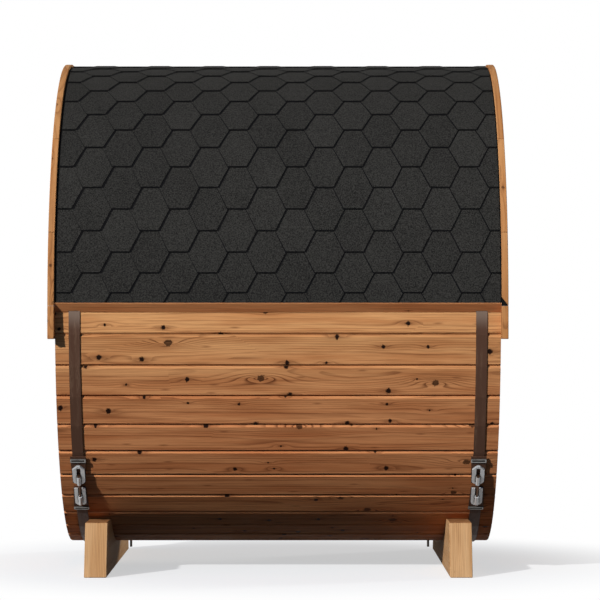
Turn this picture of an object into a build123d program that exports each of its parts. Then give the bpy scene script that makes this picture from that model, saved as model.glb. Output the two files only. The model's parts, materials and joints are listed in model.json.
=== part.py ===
from build123d import *
import os
from math import asin, cos, degrees, hypot, radians, sin, sqrt, tan

os.makedirs("parts", exist_ok=True)

# Fits between pieces that are put together
fit_gap = 0.3
band_side_gap = 1.5

# Barrel of bevelled staves lying on its side, axis along X, photographed side towards -Y
stave_count = 49
staves_per_run = 7
stave_flat = 983.0
stave_thick = 42.0
stave_length = 1748.0
stave_bevel = 9.0
tongue_root = 14.0
tongue_tip = 10.0
tongue_length = 9.0
first_joint_angle = -6.55
half_share = 0.5

# End walls of upright boards, held in a croze groove cut round the inside of the staves
wall_thick = 42.0
wall_inset = 55.0
croze_depth = 10.0
wall_boards = 16
door_boards_across = 6
board_bevel = 5.0

# Cradles under the barrel
cradle_thick = 90.0
cradle_foot_length = 1556.0
cradle_top_length = 1410.0
cradle_height = 215.0
cradle_bed = 96.0
cradle_ease = 2.5

# Steel bands round the staves, each closed by a screw tensioner
band_width = 44.0
band_thick = 5.0
tension_angle = -46.2
tension_gap = 27.0
plate_width = 51.0
plate_thick = 3.0
plate_tail_above = 42.0
plate_tail_below = 52.0
plate_flare = 5.0
keeper_length = 17.0
keeper_bar = 4.5
upper_lug_width = 49.0
lower_lug_width = 45.0
lug_length = 102.0
lug_thick = 5.0
lug_nose = 18.0
lug_round = 20.0
lug_rim = 9.0
sleeve_radius = 8.5
sleeve_rise = 11.5
sleeve_inset = 6.0
sleeve_share = 0.45
slot_width = 16.0
draw_bolt_radius = 3.5
bolt_head_across = 12.0
bolt_head_thick = 7.0

# Roof build-up over the upper half of the staves
deck_thick = 27.5
cover_thick = 4.0
eaves_rise = 12.0
eaves_height = 36.0
eaves_lip = 1.5
eaves_set_back = 7.0

# Arched trim on both ends of the roof, with straight legs below it
trim_thick = 26.0
trim_proud = 12.5
trim_depth = 86.0
trim_drop = 129.0
trim_ease = 2.0
trim_gap = 2.0
mitre_rise = 33.0
mitre_clear = 4.0
trim_joints = (0.0, 16.35, 40.5, 74.0, 106.0, 139.5, 163.65, 180.0)

# Bolts through the lowest stave
floor_bolt_radius = 5.0
floor_bolt_inset = 54.5
floor_bolt_drop = 29.0
floor_bolt_head_across = 17.0
floor_bolt_head_thick = 5.0

# Plank door in the end wall at +X
jamb_width = 46.0
frame_depth = 60.0
frame_corner_gap = 5.5
door_gap = 3.0
door_thick = 40.0
ledge_width = 95.0
ledge_thick = 22.0
ledge_inset = 230.0
hinge_length = 270.0
hinge_width = 38.0
hinge_thick = 4.0
hinge_knuckle_radius = 7.0
handle_length = 380.0
handle_radius = 15.0
handle_stand = 44.0
handle_post_side = 20.0
handle_post_inset = 55.0
handle_edge = 60.0

# Sizes that follow from those above
stave_pitch = 360 / stave_count
half_pitch = radians(stave_pitch / 2)
side_slope = tan(half_pitch)
stave_half = stave_flat * side_slope - fit_gap / 2
inner_flat = stave_flat - stave_thick
mid_flat = stave_flat - stave_thick * half_share
half_length = stave_length / 2
seat_radius = hypot(stave_flat, stave_half - stave_bevel) + fit_gap
axis_height = cradle_bed + seat_radius
wall_radius = inner_flat + croze_depth - fit_gap
wall_x = half_length - wall_inset - wall_thick / 2
band_x = wall_x
band_flat = stave_flat + fit_gap
band_outer = (band_flat + band_thick) / cos(half_pitch)
cradle_x = band_x - band_width / 2 - band_side_gap - cradle_thick / 2
floor_bolt_x = cradle_x - cradle_thick / 2 - floor_bolt_inset
plate_inner = band_outer + fit_gap
plate_outer = plate_inner + plate_thick
lug_seat = plate_outer + fit_gap
deck_inner = band_outer + fit_gap
deck_outer = seat_radius + deck_thick
cover_inner = deck_outer + fit_gap
cover_outer = cover_inner + cover_thick
trim_outer = cover_outer + trim_proud
trim_inner = trim_outer - trim_depth
deck_start = degrees(asin((eaves_rise + fit_gap) / seat_radius))
trim_face = half_length + trim_thick
eaves_reach = trim_outer - eaves_set_back
board_width = 2 * wall_radius / wall_boards
frame_half = board_width * door_boards_across / 2
frame_height = 2 * sqrt((inner_flat - frame_corner_gap) ** 2 - frame_half**2)
frame_face = wall_x + frame_depth / 2
leaf_width = 2 * (frame_half - jamb_width - door_gap)
leaf_height = frame_height - 2 * (jamb_width + door_gap)
ends = (("left", -1), ("right", 1))

barrel_axis = Axis((0, 0, axis_height), (-1, 0, 0))


def section_at(x):
    """Cross-section plane at x: local x towards the photographed side, local y up."""
    return Plane(origin=(x, 0, axis_height), x_dir=(0, -1, 0), z_dir=(-1, 0, 0))


def radial_plane(angle):
    """Plane through the barrel's axis: local x along the barrel, local y outwards at the angle."""
    turn = radians(angle)
    return Plane(origin=(0, 0, axis_height), x_dir=(1, 0, 0), z_dir=(0, -sin(turn), -cos(turn)))


def tangent_plane(x, angle, radius):
    """Plane lying on the barrel at the angle: local y climbs the barrel, local z points outwards."""
    turn = radians(angle)
    spot = (x, -radius * cos(turn), axis_height + radius * sin(turn))
    return Plane(origin=spot, x_dir=(1, 0, 0), z_dir=(0, -cos(turn), sin(turn)))


def side_at(flat):
    """Half-width of a stave at a distance from the barrel's axis."""
    return flat * side_slope - fit_gap / 2


def joint_point(hand, along, out):
    """Point at a stave's side: along the side from the middle of its joint, and out from the side."""
    flat = mid_flat + along * cos(half_pitch) - out * sin(half_pitch)
    across = side_at(mid_flat) + along * sin(half_pitch) + out * cos(half_pitch)
    return flat, hand * across


# One stave: bevelled outer edges, a tongue on one side, a groove on the other, a croze at each end
bevel_flat = stave_flat - stave_bevel
flat_half = side_at(stave_flat) - stave_bevel
root_half = tongue_root / 2
tip_half = tongue_tip / 2
with BuildPart() as stave:
    with BuildSketch():
        with BuildLine():
            face_line = Line((stave_flat, -flat_half), (stave_flat, flat_half))
            tongue = Polyline(
                face_line @ 1,
                (bevel_flat, side_at(bevel_flat)),
                joint_point(1, root_half, 0),
                joint_point(1, tip_half, tongue_length),
                joint_point(1, -tip_half, tongue_length),
                joint_point(1, -root_half, 0),
                (inner_flat, side_at(inner_flat)),
            )
            back_line = Line(tongue @ 1, (inner_flat, -side_at(inner_flat)))
            Polyline(
                back_line @ 1,
                joint_point(-1, -root_half - fit_gap, 0),
                joint_point(-1, -tip_half - fit_gap, -tongue_length),
                joint_point(-1, tip_half + fit_gap, -tongue_length),
                joint_point(-1, root_half + fit_gap, 0),
                (bevel_flat, -side_at(bevel_flat)),
                face_line @ 0,
            )
        make_face()
    extrude(amount=half_length, both=True)
    with Locations((inner_flat, 0, wall_x), (inner_flat, 0, -wall_x)):
        Box(2 * croze_depth, 2 * stave_half, wall_thick + 2 * fit_gap, mode=Mode.SUBTRACT)

# Seven runs of staves round the barrel, from the photographed side downwards
stave_runs = (
    "staves_front_lower",
    "staves_floor",
    "staves_back_lower",
    "staves_back_upper",
    "staves_back_crown",
    "staves_front_crown",
    "staves_front_upper",
)
for place, run_name in enumerate(stave_runs):
    run_start = first_joint_angle - stave_pitch * (place * staves_per_run + half_share)
    with BuildPart(section_at(0)) as stave_run:
        with PolarLocations(0, staves_per_run, run_start, -stave_pitch * staves_per_run):
            add(stave.part)
        with Locations((0, -mid_flat, floor_bolt_x), (0, -mid_flat, -floor_bolt_x)):
            bolt_hole = floor_bolt_radius + fit_gap
            Cylinder(bolt_hole, 2 * stave_thick, rotation=(90, 0, 0), mode=Mode.SUBTRACT)
    stave_run.part.label = run_name
    export_step(stave_run.part, f"parts/{run_name}.step")

# Two bolts through the lowest stave, six-sided heads inside, plain ends hanging below
bolt_seat = axis_height - inner_flat + fit_gap
bolt_length = bolt_seat - cradle_bed + floor_bolt_drop
with BuildPart() as floor_bolts:
    with BuildSketch(Plane.XY.offset(bolt_seat)):
        with Locations((floor_bolt_x, 0), (-floor_bolt_x, 0)):
            Circle(floor_bolt_radius)
    extrude(amount=-bolt_length)
    with BuildSketch(Plane.XY.offset(bolt_seat)):
        with Locations((floor_bolt_x, 0), (-floor_bolt_x, 0)):
            RegularPolygon(floor_bolt_head_across / 2, 6, major_radius=False)
    extrude(amount=floor_bolt_head_thick)
floor_bolts.part.label = "floor_bolts"
export_step(floor_bolts.part, "parts/floor_bolts.step")

# Cradles: sawn timbers with sloping ends and a round saddle for the barrel
foot_half = cradle_foot_length / 2
top_half = cradle_top_length / 2
for end, way in ends:
    with BuildPart() as cradle:
        with BuildSketch(section_at(way * cradle_x)):
            with BuildLine():
                ground = Line((-foot_half, -axis_height), (foot_half, -axis_height))
                slope = Line(ground @ 1, (top_half, cradle_height - axis_height))
                top = Line(slope @ 1, (-top_half, cradle_height - axis_height))
                Line(top @ 1, ground @ 0)
            make_face()
        extrude(amount=cradle_thick / 2, both=True)
        chamfer(cradle.edges(), cradle_ease)
        with Locations(section_at(way * cradle_x)):
            Cylinder(seat_radius, 2 * cradle_thick, mode=Mode.SUBTRACT)
    cradle.part.label = f"cradle_{end}"
    export_step(cradle.part, f"parts/cradle_{end}.step")

# Bands and their tensioners
lug_middle = (tension_gap + lug_length) / 2
plate_half = plate_width / 2
plate_run = tension_gap / 2 + lug_length
plate_tails = ((1, plate_tail_above), (-1, plate_tail_below))
keeper_width = plate_width + 2 * plate_flare
sleeve_length = lug_length * sleeve_share
slot_length = lug_length - sleeve_inset - sleeve_length - lug_rim
upper_sleeve = (tension_gap + sleeve_length) / 2 + sleeve_inset
upper_slot = (tension_gap + slot_length) / 2 + sleeve_inset + sleeve_length
lower_slot = -(tension_gap + slot_length) / 2
lower_sleeve = -(tension_gap + sleeve_length) / 2 - slot_length
bolt_top = tension_gap / 2 + sleeve_inset + sleeve_length + fit_gap
bolt_run = bolt_top + tension_gap / 2 + slot_length + sleeve_length + fit_gap
for end, way in ends:
    spot = way * band_x
    lug_plane = tangent_plane(spot, tension_angle, lug_seat)
    ring_plane = section_at(spot)
    ring_width = 2 * keeper_width

    # Flat band drawn tight on the staves, bent at each joint and open between the two lugs
    with BuildPart() as band:
        with BuildSketch(ring_plane):
            hoop = (stave_count, False, first_joint_angle)
            RegularPolygon(band_flat + band_thick, *hoop)
            RegularPolygon(band_flat, *hoop, mode=Mode.SUBTRACT)
        extrude(amount=band_width / 2, both=True)
        with Locations(tangent_plane(spot, tension_angle, band_flat)):
            Box(2 * band_width, tension_gap, 4 * band_thick, mode=Mode.SUBTRACT)
    band.part.label = f"band_{end}"
    export_step(band.part, f"parts/band_{end}.step")

    # Flared end plates, curved to lie on the band
    with BuildPart() as end_plates:
        with BuildSketch(lug_plane):
            for climb, plate_tail in plate_tails:
                with BuildLine():
                    inner = climb * tension_gap / 2
                    outer = climb * (plate_run + plate_tail)
                    root = Line((-plate_half, inner), (plate_half, inner))
                    flank = Line(root @ 1, (plate_half + plate_flare, outer))
                    tail = Line(flank @ 1, (-plate_half - plate_flare, outer))
                    Line(tail @ 1, root @ 0)
                make_face()
        extrude(amount=lug_length, both=True)
        with Locations(ring_plane):
            Cylinder(plate_outer, ring_width, mode=Mode.INTERSECT)
            Cylinder(plate_inner, ring_width, mode=Mode.SUBTRACT)
    end_plates.part.label = f"end_plates_{end}"
    export_step(end_plates.part, f"parts/end_plates_{end}.step")

    # Keepers: a square-bar loop over the tail of each plate
    with BuildPart() as keepers:
        for climb, plate_tail in plate_tails:
            keeper_turn = climb * degrees((plate_run + plate_tail - keeper_length) / plate_outer)
            with BuildSketch(tangent_plane(spot, tension_angle + keeper_turn, lug_seat)):
                Rectangle(keeper_width, keeper_length)
                Rectangle(keeper_width - 2 * keeper_bar, keeper_length - 2 * keeper_bar, mode=Mode.SUBTRACT)
            extrude(amount=keeper_bar)
    keepers.part.label = f"keepers_{end}"
    export_step(keepers.part, f"parts/keepers_{end}.step")

    # Cast lugs: a plate with a nose or a round end, a curved seat, a slot and a sleeve for the draw bolt
    with BuildPart() as lugs:
        with BuildSketch(lug_plane) as upper_outline:
            with Locations((0, lug_middle)):
                Rectangle(upper_lug_width, lug_length)
            chamfer(upper_outline.vertices().group_by(Axis.Y)[-1], lug_nose)
            fillet(upper_outline.vertices().group_by(Axis.Y)[0], lug_round)
        with BuildSketch(lug_plane) as lower_outline:
            with Locations((0, -lug_middle)):
                Rectangle(lower_lug_width, lug_length)
            fillet(lower_outline.vertices().group_by(Axis.Y)[0], lug_round)
        extrude(amount=lug_thick)
        with BuildSketch(lug_plane):
            add(upper_outline.sketch_local)
            add(lower_outline.sketch_local)
        extrude(amount=-plate_width)
        with Locations(lug_plane):
            with Locations((0, upper_slot, 0), (0, lower_slot, 0)):
                Box(slot_width, slot_length, 2 * plate_width, mode=Mode.SUBTRACT)
            with Locations((0, upper_sleeve, sleeve_rise), (0, lower_sleeve, sleeve_rise)):
                Cylinder(sleeve_radius, sleeve_length, rotation=(90, 0, 0))
            with Locations((0, 0, sleeve_rise)):
                bore = draw_bolt_radius + fit_gap
                Cylinder(bore, 2 * plate_run, rotation=(90, 0, 0), mode=Mode.SUBTRACT)
        with Locations(ring_plane):
            Cylinder(lug_seat, ring_width, mode=Mode.SUBTRACT)
    lugs.part.label = f"lugs_{end}"
    export_step(lugs.part, f"parts/lugs_{end}.step")

    # Draw bolt through both sleeves, a hexagon at each end
    head_plane = Plane(
        origin=lug_plane.from_local_coords((0, bolt_top, sleeve_rise)),
        x_dir=lug_plane.x_dir,
        z_dir=lug_plane.y_dir,
    )
    with BuildPart() as draw_bolt:
        with BuildSketch(head_plane):
            RegularPolygon(bolt_head_across / 2, 6, major_radius=False)
        extrude(amount=bolt_head_thick)
        with BuildSketch(head_plane.offset(-bolt_run)):
            RegularPolygon(bolt_head_across / 2, 6, major_radius=False)
        extrude(amount=-bolt_head_thick)
        with BuildSketch(head_plane):
            Circle(draw_bolt_radius)
        extrude(amount=-bolt_run - bolt_head_thick)
    draw_bolt.part.label = f"draw_bolt_{end}"
    export_step(draw_bolt.part, f"parts/draw_bolt_{end}.step")

# Roof deck over the bands and its covering, front and back; a tongue of the covering fills the mitre
for half, first, out in (("front", deck_start, 1), ("back", 90, -1)):
    with BuildPart() as roof_deck:
        with BuildSketch(radial_plane(first)):
            with Locations((0, (deck_inner + deck_outer) / 2)):
                Rectangle(stave_length, deck_outer - deck_inner)
        revolve(axis=barrel_axis, revolution_arc=90 - deck_start)
    roof_deck.part.label = f"roof_deck_{half}"
    export_step(roof_deck.part, f"parts/roof_deck_{half}.step")

    with BuildPart() as roof_cover:
        with BuildSketch(radial_plane(first)):
            with Locations((0, cover_inner + cover_thick / 2)):
                Rectangle(stave_length, cover_thick)
        revolve(axis=barrel_axis, revolution_arc=90 - deck_start)
        with BuildSketch(Plane.XZ.offset(out * cover_inner)):
            with BuildLine():
                low_corner = (half_length, axis_height + fit_gap)
                high_corner = (half_length, axis_height + mitre_rise + trim_gap - mitre_clear)
                seam = Line(low_corner, high_corner)
                bias = Line(seam @ 1, (trim_face, axis_height + fit_gap))
                Line(bias @ 1, seam @ 0)
            make_face()
        extrude(amount=out * cover_thick)
    roof_cover.part.label = f"roof_cover_{half}"
    export_step(roof_cover.part, f"parts/roof_cover_{half}.step")

# Eaves mouldings: a slanted face from the edge of the roof down to the staves
for half, out in (("front", 1), ("back", -1)):
    with BuildPart() as eaves:
        with BuildSketch(section_at(0)):
            with BuildLine():
                heel = (out * seat_radius, eaves_rise - eaves_height)
                back = Line(heel, (out * seat_radius, eaves_rise))
                ledge = Line(back @ 1, (out * eaves_reach, eaves_rise))
                lip = Line(ledge @ 1, (out * eaves_reach, eaves_rise - eaves_lip))
                Line(lip @ 1, heel)
            make_face()
        extrude(amount=half_length, both=True)
        with Locations(section_at(band_x), section_at(-band_x)):
            channel = band_width + 2 * band_side_gap
            Cylinder(deck_inner, channel, mode=Mode.SUBTRACT)
    eaves.part.label = f"eaves_{half}"
    export_step(eaves.part, f"parts/eaves_{half}.step")


def trim_section(way, out):
    """Corners of the trim's section at one end and on one side, both edges of the rim eased."""
    near = way * half_length
    far = way * trim_face
    ease = way * trim_ease
    shoulder = out * (trim_outer - trim_ease)
    return (
        (near, out * trim_inner),
        (far, out * trim_inner),
        (far, shoulder),
        (far - ease, out * trim_outer),
        (near + ease, out * trim_outer),
        (near, shoulder),
    )


# Arched trim in segments with eased edges, mitred at the foot on the right end
gap_half = degrees(trim_gap / trim_outer) / 2
for end, way in ends:
    with BuildPart() as trim_arc:
        for first, last in zip(trim_joints[:-1], trim_joints[1:]):
            with BuildSketch(radial_plane(first + gap_half)):
                with BuildLine():
                    Polyline(*trim_section(way, 1), close=True)
                make_face()
            revolve(axis=barrel_axis, revolution_arc=last - first - 2 * gap_half)
        with BuildSketch(Plane.XZ):
            with BuildLine():
                mitre_top = max(way, 0) * mitre_rise + trim_gap
                corner = (half_length, axis_height)
                mitre = Line(corner, (half_length, axis_height + mitre_top))
                scarf = Line(mitre @ 1, (trim_face, axis_height + trim_gap))
                foot = Line(scarf @ 1, (trim_face, axis_height))
                Line(foot @ 1, corner)
            make_face()
        extrude(amount=2 * trim_outer, both=True, mode=Mode.SUBTRACT)
    trim_arc.part.label = f"trim_arc_{end}"
    export_step(trim_arc.part, f"parts/trim_arc_{end}.step")

    with BuildPart() as trim_legs:
        with BuildSketch(Plane.XY.offset(axis_height)):
            for out in (1, -1):
                with BuildLine():
                    Polyline(*trim_section(way, out), close=True)
                make_face()
        extrude(amount=-trim_drop)
        chamfer(trim_legs.faces().group_by(Axis.Z)[0].edges(), trim_ease)
    trim_legs.part.label = f"trim_legs_{end}"
    export_step(trim_legs.part, f"parts/trim_legs_{end}.step")

# Rear end wall of upright boards, bevelled on the outer face and cut round to fit the croze
with BuildPart() as rear_wall:
    with BuildSketch(Plane((-wall_x, 0, axis_height - wall_radius))) as rear_boards:
        with GridLocations(0, board_width, 1, wall_boards):
            Rectangle(wall_thick, board_width - fit_gap)
        chamfer(rear_boards.vertices().group_by(Axis.X)[0], board_bevel)
    extrude(amount=2 * wall_radius)
    with Locations(section_at(-wall_x)):
        Cylinder(wall_radius, 2 * wall_thick, mode=Mode.INTERSECT)
rear_wall.part.label = "rear_wall"
export_step(rear_wall.part, "parts/rear_wall.step")

# Door end wall of the same boards, cut through for the door frame
with BuildPart() as door_wall:
    with BuildSketch(Plane((wall_x, 0, axis_height - wall_radius))) as door_wall_boards:
        with GridLocations(0, board_width, 1, wall_boards):
            Rectangle(wall_thick, board_width - fit_gap)
        chamfer(door_wall_boards.vertices().group_by(Axis.X)[-1], board_bevel)
    extrude(amount=2 * wall_radius)
    with Locations(section_at(wall_x)):
        Cylinder(wall_radius, 2 * wall_thick, mode=Mode.INTERSECT)
    with Locations((wall_x, 0, axis_height)):
        Box(2 * wall_thick, 2 * frame_half, frame_height, mode=Mode.SUBTRACT)
beside_front = door_wall.solids().filter_by_position(Axis.Y, -wall_radius, -frame_half)
beside_back = door_wall.solids().filter_by_position(Axis.Y, frame_half, wall_radius)
between = door_wall.solids().filter_by_position(Axis.Y, -frame_half, frame_half)
above = between.filter_by_position(Axis.Z, axis_height, axis_height + wall_radius)
below = between.filter_by_position(Axis.Z, axis_height - wall_radius, axis_height)
door_wall_nodes = (
    ("door_wall_front", beside_front),
    ("door_wall_back", beside_back),
    ("door_wall_head", above),
    ("door_wall_sill", below),
)
for node, solids in door_wall_nodes:
    with BuildPart() as wall_piece:
        add(solids)
    wall_piece.part.label = node
    export_step(wall_piece.part, f"parts/{node}.step")

# Door frame: two jambs with a head and a sill between them
bar_shift = (frame_height - jamb_width) / 2
jamb_shift = frame_half - jamb_width / 2
with BuildPart() as door_jambs:
    with Locations((wall_x, jamb_shift, axis_height), (wall_x, -jamb_shift, axis_height)):
        Box(frame_depth, jamb_width, frame_height)
door_jambs.part.label = "door_jambs"
export_step(door_jambs.part, "parts/door_jambs.step")
for node, level in (("door_head", axis_height + bar_shift), ("door_sill", axis_height - bar_shift)):
    with BuildPart() as frame_bar:
        with Locations((wall_x, 0, level)):
            Box(frame_depth, 2 * (frame_half - jamb_width), jamb_width)
    frame_bar.part.label = node
    export_step(frame_bar.part, f"parts/{node}.step")

# Door leaf of upright boards, its outer face flush with the frame
leaf_board = leaf_width / door_boards_across
leaf_x = frame_face - door_thick / 2
with BuildPart() as door_boards:
    with BuildSketch(Plane((leaf_x, 0, axis_height - leaf_height / 2))) as leaf_boards:
        with GridLocations(0, leaf_board, 1, door_boards_across):
            Rectangle(door_thick, leaf_board - fit_gap)
        chamfer(leaf_boards.vertices().group_by(Axis.X)[-1], board_bevel)
    extrude(amount=leaf_height)
door_boards.part.label = "door_boards"
export_step(door_boards.part, "parts/door_boards.step")

# Ledges across the inside of the leaf
ledge_x = frame_face - door_thick - ledge_thick / 2
ledge_shift = leaf_height / 2 - ledge_inset
with BuildPart() as door_ledges:
    with Locations((ledge_x, 0, axis_height + ledge_shift), (ledge_x, 0, axis_height - ledge_shift)):
        Box(ledge_thick, leaf_width - 2 * jamb_width, ledge_width)
door_ledges.part.label = "door_ledges"
export_step(door_ledges.part, "parts/door_ledges.step")

# Strap hinges over the ledges, each with a knuckle beside the back jamb
hinge_edge = leaf_width / 2 + door_gap / 2
strap_middle = hinge_edge - hinge_length / 2
on_face = (Align.MIN, Align.CENTER, Align.CENTER)
with BuildPart() as door_hinges:
    with Locations((frame_face, 0, axis_height + ledge_shift), (frame_face, 0, axis_height - ledge_shift)):
        with Locations((0, strap_middle, 0)):
            Box(hinge_thick, hinge_length, hinge_width, align=on_face)
        with Locations((0, hinge_edge + jamb_width / 2, 0)):
            Box(hinge_thick, jamb_width, ledge_width, align=on_face)
        with Locations((hinge_knuckle_radius, hinge_edge, 0)):
            Cylinder(hinge_knuckle_radius, ledge_width)
door_hinges.part.label = "door_hinges"
export_step(door_hinges.part, "parts/door_hinges.step")

# Pull handle: a round bar on two square posts
handle_y = -leaf_width / 2 + handle_edge
post_shift = handle_length / 2 - handle_post_inset
with BuildPart() as door_handle:
    with Locations((frame_face + handle_stand, handle_y, axis_height)):
        Cylinder(handle_radius, handle_length)
    with Locations((frame_face, handle_y, axis_height)):
        with Locations((0, 0, post_shift), (0, 0, -post_shift)):
            Box(handle_stand, handle_post_side, handle_post_side, align=on_face)
door_handle.part.label = "door_handle"
export_step(door_handle.part, "parts/door_handle.step")
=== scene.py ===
"""Looks of a barrel sauna: wood, felt, paint and steel finishes, shingle tabs, studio and camera."""

import json
import logging
import math
import random
from dataclasses import dataclass, field
from enum import Enum
from typing import ClassVar, Mapping, Sequence, Union

import bmesh
import bpy
from mathutils import Matrix, Vector


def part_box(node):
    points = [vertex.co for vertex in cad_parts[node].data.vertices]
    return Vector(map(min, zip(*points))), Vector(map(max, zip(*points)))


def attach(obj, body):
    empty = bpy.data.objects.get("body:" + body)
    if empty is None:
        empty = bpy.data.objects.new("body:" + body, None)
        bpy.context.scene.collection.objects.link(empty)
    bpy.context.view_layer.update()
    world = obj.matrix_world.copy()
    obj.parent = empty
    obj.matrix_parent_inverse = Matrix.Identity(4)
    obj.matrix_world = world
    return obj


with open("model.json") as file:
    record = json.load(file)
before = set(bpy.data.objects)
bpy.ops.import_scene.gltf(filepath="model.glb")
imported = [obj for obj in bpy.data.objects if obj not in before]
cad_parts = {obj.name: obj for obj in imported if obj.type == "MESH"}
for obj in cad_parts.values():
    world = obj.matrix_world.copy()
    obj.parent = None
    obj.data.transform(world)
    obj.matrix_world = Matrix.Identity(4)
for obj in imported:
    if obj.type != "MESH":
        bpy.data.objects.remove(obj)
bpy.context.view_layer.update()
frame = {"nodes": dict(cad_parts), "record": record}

log = logging.getLogger("barrel_sauna")

Feed = Union[float, Sequence[float], bpy.types.NodeSocket]
Rgb = tuple[int, int, int]
Tint = tuple[float, float, float, float]

MIDDLE = 0.5
WHITE: Tint = (1.0, 1.0, 1.0, 1.0)


def linear(colour: Rgb) -> Tint:
    """Turns a display colour into the values a shader socket takes.

    Args:
        colour: Red, green and blue from 0 to 255.

    Returns:
        Linear red, green and blue with full alpha.
    """
    parts = [part / 255 for part in colour]
    turned = [p / 12.92 if p <= 0.04045 else ((p + 0.055) / 1.055) ** 2.4 for p in parts]
    return (turned[0], turned[1], turned[2], 1.0)


class Slot(Enum):
    """The record's material slots."""

    STAVE_WOOD = "stave_wood"
    CRADLE_WOOD = "cradle_wood"
    TRIM_WOOD = "trim_wood"
    EAVES_WOOD = "eaves_wood"
    DECK_WOOD = "deck_wood"
    WALL_WOOD = "wall_wood"
    HANDLE_WOOD = "handle_wood"
    SHINGLE_FELT = "shingle_felt"
    BAND_PAINT = "band_paint"
    KEEPER_STEEL = "keeper_steel"
    LUG_CHROME = "lug_chrome"
    BOLT_STEEL = "bolt_steel"
    FLOOR_BOLT_STEEL = "floor_bolt_steel"
    HINGE_STEEL = "hinge_steel"


class NodeSheet:
    """Adds nodes to one shader tree and joins them."""

    def __init__(self, tree: bpy.types.NodeTree) -> None:
        """Keeps the tree that the nodes go into."""
        self.tree = tree

    def feed(self, socket: bpy.types.NodeSocket, value: Feed) -> None:
        """Joins a socket to another one, or sets its value.

        Args:
            socket: The input that takes the value.
            value: An output socket, a number or a row of numbers.
        """
        if isinstance(value, bpy.types.NodeSocket):
            self.tree.links.new(value, socket)
        else:
            socket.default_value = value

    def add(self, kind: str, feeds: Mapping[Union[str, int], Feed], **settings: object) -> bpy.types.Node:
        """Adds one node.

        Args:
            kind: The node's type, without the word ShaderNode.
            feeds: What goes into each input, by name or place.
            settings: The node's own options.

        Returns:
            The new node.
        """
        node = self.tree.nodes.new(f"ShaderNode{kind}")
        for name, value in settings.items():
            setattr(node, name, value)
        for key, value in feeds.items():
            self.feed(node.inputs[key], value)
        return node

    def math(self, operation: str, *values: Feed, clamp: bool = False) -> bpy.types.NodeSocket:
        """Adds a math node and gives its result."""
        feeds = dict(enumerate(values))
        return self.add("Math", feeds, operation=operation, use_clamp=clamp).outputs[0]

    def vector(self, operation: str, *values: Feed) -> bpy.types.NodeSocket:
        """Adds a vector math node and gives its vector or, for a dot product or length, its value."""
        node = self.add("VectorMath", dict(enumerate(values)), operation=operation)
        return node.outputs[1 if operation in {"DOT_PRODUCT", "LENGTH"} else 0]

    def ramp(
        self, value: Feed, low: Feed, high: Feed, start: Feed = 0.0, end: Feed = 1.0
    ) -> bpy.types.NodeSocket:
        """Moves a value smoothly from one range into another.

        Args:
            value: The value to read.
            low: Where the change begins.
            high: Where the change ends.
            start: The result up to low.
            end: The result from high on.

        Returns:
            The socket with the result.
        """
        feeds = {0: value, 1: low, 2: high, 3: start, 4: end}
        return self.add("MapRange", feeds, interpolation_type="SMOOTHSTEP").outputs[0]

    def noise(self, place: Feed, scale: float, detail: float, rough: float = 0.5) -> bpy.types.NodeSocket:
        """Adds a noise texture and gives its value."""
        feeds = {"Vector": place, "Scale": scale, "Detail": detail, "Roughness": rough}
        return self.add("TexNoise", feeds, noise_dimensions="3D").outputs[0]

    def scatter(self, seed: Feed) -> bpy.types.Node:
        """Adds a white noise node that gives each seed its own value and colour."""
        return self.add("TexWhiteNoise", {"W": seed}, noise_dimensions="1D")

    def blend(self, share: Feed, first: Feed, second: Feed, mode: str = "MIX") -> bpy.types.NodeSocket:
        """Mixes two colours.

        Args:
            share: How much of the second colour shows.
            first: The colour underneath.
            second: The colour on top.
            mode: How the colours meet.

        Returns:
            The socket with the mixed colour.
        """
        feeds = {0: share, 6: first, 7: second}
        return self.add("Mix", feeds, data_type="RGBA", blend_type=mode).outputs[2]

    def parts(self, place: Feed) -> tuple[bpy.types.NodeSocket, ...]:
        """Splits a vector into its three values."""
        return tuple(self.add("SeparateXYZ", {0: place}).outputs)

    def join(self, x: Feed, y: Feed, z: Feed) -> bpy.types.NodeSocket:
        """Makes a vector of three values."""
        return self.add("CombineXYZ", {0: x, 1: y, 2: z}).outputs[0]

    def group(self, tree: bpy.types.NodeTree, feeds: Mapping[str, Feed]) -> bpy.types.Node:
        """Adds a node group.

        Args:
            tree: The group's own tree.
            feeds: What goes into each of its inputs.

        Returns:
            The group node.
        """
        node = self.tree.nodes.new("ShaderNodeGroup")
        node.node_tree = tree
        for key, value in feeds.items():
            self.feed(node.inputs[key], value)
        return node


class GroupSheet(NodeSheet):
    """A shader node group with named inputs and outputs."""

    def __init__(self, name: str, inputs: Mapping[str, str], outputs: Mapping[str, str]) -> None:
        """Makes the empty group.

        Args:
            name: The group's name.
            inputs: The type of each input by name.
            outputs: The type of each output by name.
        """
        super().__init__(bpy.data.node_groups.new(name, "ShaderNodeTree"))
        for way, sockets in (("INPUT", inputs), ("OUTPUT", outputs)):
            for label, kind in sockets.items():
                self.tree.interface.new_socket(label, in_out=way, socket_type=f"NodeSocket{kind}")
        self.given = self.tree.nodes.new("NodeGroupInput").outputs
        self.result = self.tree.nodes.new("NodeGroupOutput").inputs


@dataclass(frozen=True)
class GrainNoise:
    """A noise drawn out along the grain, with its scales along and across."""

    along: float
    across: float
    detail: float
    rough: float = 0.5

    def lay(self, sheet: NodeSheet, place: Feed) -> bpy.types.NodeSocket:
        """Lays the noise over a place along, across and into the board."""
        drawn = sheet.vector("MULTIPLY", place, (self.along, self.across, self.across))
        return sheet.noise(drawn, 1.0, self.detail, self.rough)


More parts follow.
